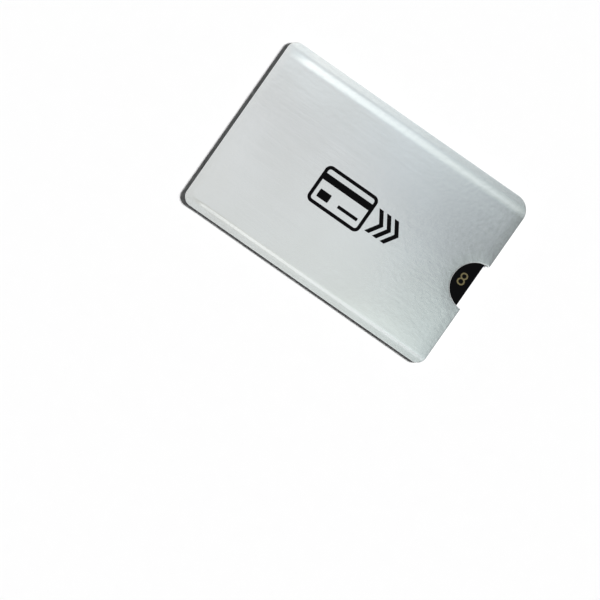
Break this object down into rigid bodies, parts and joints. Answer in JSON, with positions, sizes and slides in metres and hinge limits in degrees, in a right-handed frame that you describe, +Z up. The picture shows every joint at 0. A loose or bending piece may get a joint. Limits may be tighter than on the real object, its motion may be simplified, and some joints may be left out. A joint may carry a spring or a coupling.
{
  "type": "card sleeve",
  "caption": "Flat shielding sleeve for a bank card: foil-lined walls sealed on three sides, open at one short end with a thumb notch, holding a chip card that slides out.",
  "frame": {"origin": "under the middle of the sleeve's outline, on the plane that the back face rests on", "axes": "+X along the long side towards the open mouth, +Y across, +Z up out of the front face"},
  "size_m": [0.091, 0.0614, 0.0018],
  "materials": {
    "brushed_film": "satin",
    "foil": "satin",
    "liner_film": "satin",
    "seal_film": "matte",
    "black_card": "gloss",
    "blue_card": "gloss",
    "white_core": "matte",
    "copper": "satin",
    "gold": "satin",
    "chip_tape": "satin",
    "chip_resin": "satin",
    "stripe": "satin",
    "panel": "matte"
  },
  "bodies": {
    "sleeve": {"front_cover": "brushed_film", "front_shield_foil": "foil", "front_liner": "liner_film", "back_cover": "brushed_film", "back_shield_foil": "foil", "back_liner": "liner_film", "end_seal": "seal_film", "left_seal": "seal_film", "right_seal": "seal_film"},
    "card": {"card_front_overlay": "black_card", "card_front_sheet": "black_card", "card_core_front": "white_core", "card_core_back": "white_core", "card_back_sheet": "blue_card", "card_back_overlay": "blue_card", "antenna_coil": "copper", "antenna_bridge": "copper", "chip_contacts": "gold", "chip_carrier_tape": "chip_tape", "chip_capsule": "chip_resin", "magnetic_stripe": "stripe", "signature_panel": "panel"}
  },
  "joints": [
    {"name": "card_slide", "type": "slide", "parent": "sleeve", "child": "card", "axis": [1, 0, 0], "range_m": [0, 0.088]}
  ]
}
